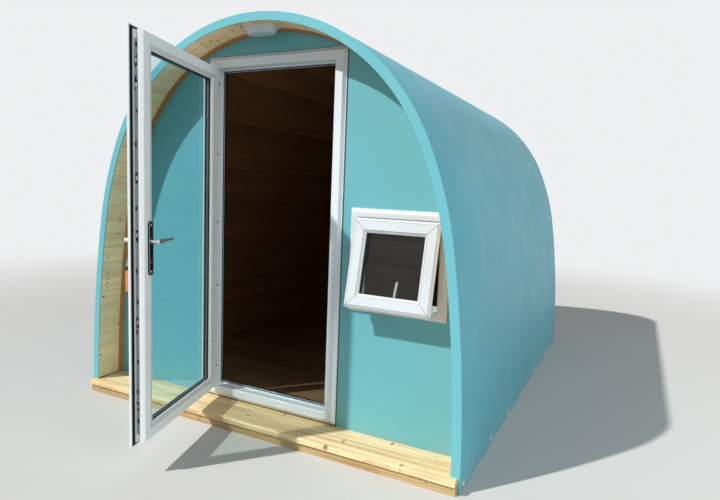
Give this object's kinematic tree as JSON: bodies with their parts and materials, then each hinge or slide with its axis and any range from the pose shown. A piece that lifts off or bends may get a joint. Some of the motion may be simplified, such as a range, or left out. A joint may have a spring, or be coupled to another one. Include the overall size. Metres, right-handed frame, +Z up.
{
  "type": "garden office pod",
  "caption": "Arched garden office pod with a glass-fibre shell, pine lining, glazed outward-opening door on a lever lock, an open top-hung window and a timber step.",
  "frame": {"origin": "centre of the pod's footprint on the ground", "axes": "+X to the right seen from the door, +Y from the door front to the rear, +Z up"},
  "size_m": [2.44, 3.6797, 2.2199],
  "materials": {
    "painted_skin": "satin teal gelcoat over laminate",
    "pine_lining": "planed softwood boards, clear coat",
    "pine_step": "planed treated softwood",
    "structural_timber": "sawn softwood",
    "floor_laminate": "matt laminate planks",
    "stained_bead": "brown stained softwood",
    "white_plastic": "satin white extrusion",
    "black_seal": "matt black seal",
    "clear_glass": "clear double glazing",
    "plated_steel": "polished plating",
    "black_plate": "black satin",
    "white_metal": "white powder coat",
    "lamp_diffuser": "opal white",
    "lamp_plastic": "white moulding"
  },
  "bodies": {
    "pod": {"base_side_joists": "structural_timber", "base_cross_joists": "structural_timber", "floor_panel": "structural_timber", "floor_laminate": "floor_laminate", "step_top_board": "pine_step", "step_front_board": "pine_step", "shell_skin_left": "painted_skin", "shell_skin_crown": "painted_skin", "shell_skin_right": "painted_skin", "shell_lining_left": "pine_lining", "shell_lining_crown": "pine_lining", "shell_lining_right": "pine_lining", "arch_ribs": "structural_timber", "end_fascias": "painted_skin", "front_wall_left": "painted_skin", "front_wall_head": "painted_skin", "front_wall_right": "painted_skin", "rear_wall": "painted_skin", "end_wall_linings": "pine_lining", "front_bead": "stained_bead", "door_sill_packer": "structural_timber", "door_frame_left": "white_plastic", "door_frame_right": "white_plastic", "door_frame_head": "white_plastic", "door_frame_threshold": "white_plastic", "door_frame_gasket": "black_seal", "hinges_on_frame": "white_metal", "window_frame": "white_plastic", "window_sash": "white_plastic", "window_glass": "clear_glass", "window_gaskets": "black_seal", "window_stays": "plated_steel", "window_handle": "white_plastic", "lamp_base": "lamp_plastic", "lamp_bowl": "lamp_diffuser"},
    "door": {"door_hinge_stile": "white_plastic", "door_lock_stile": "white_plastic", "door_top_rail": "white_plastic", "door_bottom_rail": "white_plastic", "door_glazing_bead": "white_plastic", "door_glass": "clear_glass", "door_gaskets": "black_seal", "door_lock_strip": "plated_steel", "door_backplates": "black_plate", "door_lock_cylinder": "plated_steel", "hinges_on_leaf": "white_metal"},
    "door_levers": {"door_lever_handles": "plated_steel"}
  },
  "joints": [
    {"name": "door_hinge", "type": "hinge", "parent": "pod", "child": "door", "pos_m": [-0.3875, -1.381, 1], "axis": [0, 0, -1], "range_deg": [-73, 27]},
    {"name": "lever_turn", "type": "hinge", "parent": "door", "child": "door_levers", "pos_m": [-0.13765, -2.08365, 1.085], "axis": [-0.9563, -0.2924, 0], "range_deg": [0, 40], "stiffness_Nm_per_rad": 1.2, "springref_deg": -51.57}
  ]
}
